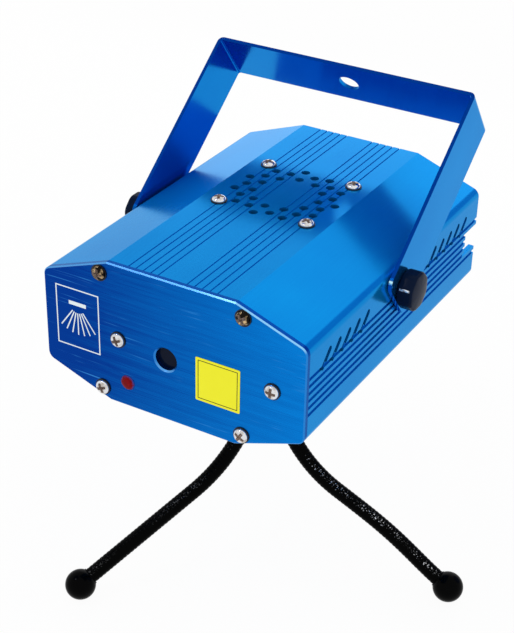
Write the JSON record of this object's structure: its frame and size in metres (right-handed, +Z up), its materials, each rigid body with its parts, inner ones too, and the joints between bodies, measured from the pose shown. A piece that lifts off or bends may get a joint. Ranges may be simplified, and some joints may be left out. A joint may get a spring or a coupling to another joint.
{
  "type": "laser show projector",
  "caption": "Small laser show projector: octagonal vented metal housing with a front beam aperture, a tilting U bracket with thumb knobs and a gooseneck tripod stand.",
  "frame": {"origin": "point on the floor under the axis of the stand screw", "axes": "+Z up along the stand screw, -Y out of the front plate along the beam, +X to the right side of the housing with the front plate facing the viewer"},
  "size_m": [0.1312, 0.1358, 0.1646],
  "materials": {
    "blue_housing": "blue anodised, fine brushed",
    "blue_plate": "blue anodised, brushed across",
    "blue_bracket": "blue gloss coat on steel strip",
    "zinc_screw": "zinc plated",
    "black_knob": "black satin",
    "black_stand": "black satin",
    "black_leg": "ribbed black sleeve",
    "black_foot": "glossy black rubber",
    "red_lens": "clear red",
    "clear_glass": "clear",
    "film": "clear film in a plastic rim",
    "brass_part": "turned brass",
    "bare_alloy": "machined",
    "steel_part": "plated steel",
    "board": "green solder mask",
    "board_part": "moulded black",
    "fan_black": "moulded black",
    "socket_black": "moulded black"
  },
  "bodies": {
    "housing": {"housing_shell": "blue_housing", "front_plate": "blue_plate", "rear_panel": "blue_plate", "front_plate_screws": "zinc_screw", "module_screws": "zinc_screw", "rear_panel_screws": "zinc_screw", "indicator_led": "red_lens", "aperture_window": "clear_glass", "optical_bench": "bare_alloy", "green_laser": "brass_part", "green_laser_block": "bare_alloy", "red_laser": "brass_part", "red_laser_block": "bare_alloy", "beam_combiner": "clear_glass", "grating_motor": "steel_part", "fan_frame": "fan_black", "fan_screws": "zinc_screw", "fan_nuts": "zinc_screw", "driver_board": "board", "board_parts": "board_part", "board_standoffs": "brass_part", "dc_jack": "socket_black", "switch_body": "socket_black", "speed_pot": "steel_part", "microphone": "steel_part", "pivot_insert_left": "brass_part", "pivot_insert_right": "brass_part", "tripod_socket": "brass_part"},
    "bracket": {"bracket_strap": "blue_bracket", "washer_left": "zinc_screw", "washer_right": "zinc_screw"},
    "left_clamp": {"knob_left": "black_knob", "knob_stud_left": "steel_part"},
    "right_clamp": {"knob_right": "black_knob", "knob_stud_right": "steel_part"},
    "fan": {"fan_rotor": "fan_black"},
    "grating": {"grating_wheel": "film", "grating_shaft": "steel_part"},
    "mode_switch": {"switch_lever": "socket_black"},
    "speed_control": {"speed_knob": "black_knob", "pot_shaft": "steel_part"},
    "stand": {"tripod_hub": "black_stand", "tripod_screw": "steel_part", "leg_1": "black_leg", "leg_2": "black_leg", "leg_3": "black_leg", "foot_1": "black_foot", "foot_2": "black_foot", "foot_3": "black_foot"},
    "stand_lock": {"lock_ring": "black_stand"}
  },
  "joints": [
    {"name": "bracket_tilt", "type": "hinge", "parent": "housing", "child": "bracket", "pos_m": [0, 0, 0.11595], "axis": [1, 0, 0], "range_deg": [-37, 148]},
    {"name": "left_knob_turn", "type": "hinge", "parent": "housing", "child": "left_clamp", "pos_m": [-0.047, 0, 0.11595], "axis": [-1, 0, 0], "range_deg": [0, 360]},
    {"name": "right_knob_turn", "type": "hinge", "parent": "housing", "child": "right_clamp", "pos_m": [0.047, 0, 0.11595], "axis": [1, 0, 0], "range_deg": [0, 360]},
    {"name": "fan_spin", "type": "hinge", "parent": "housing", "child": "fan", "pos_m": [0, 0.0101, 0.12425], "axis": [0, 0, 1], "continuous": true},
    {"name": "grating_spin", "type": "hinge", "parent": "housing", "child": "grating", "pos_m": [0.0072, -0.0525, 0.1044], "axis": [0, 1, 0], "continuous": true},
    {"name": "switch_slide", "type": "slide", "parent": "housing", "child": "mode_switch", "axis": [1, 0, 0], "range_m": [-0.002, 0.002]},
    {"name": "speed_turn", "type": "hinge", "parent": "housing", "child": "speed_control", "pos_m": [0.026, 0.05737, 0.10325], "axis": [0, 1, 0], "range_deg": [-150, 150]},
    {"name": "stand_swivel", "type": "hinge", "parent": "housing", "child": "stand", "pos_m": [0, 0, 0.08], "axis": [0, 0, 1], "range_deg": [-180, 180]},
    {"name": "lock_turn", "type": "hinge", "parent": "stand", "child": "stand_lock", "pos_m": [0, 0, 0.08], "axis": [0, 0, 1], "range_deg": [0, 360]}
  ]
}
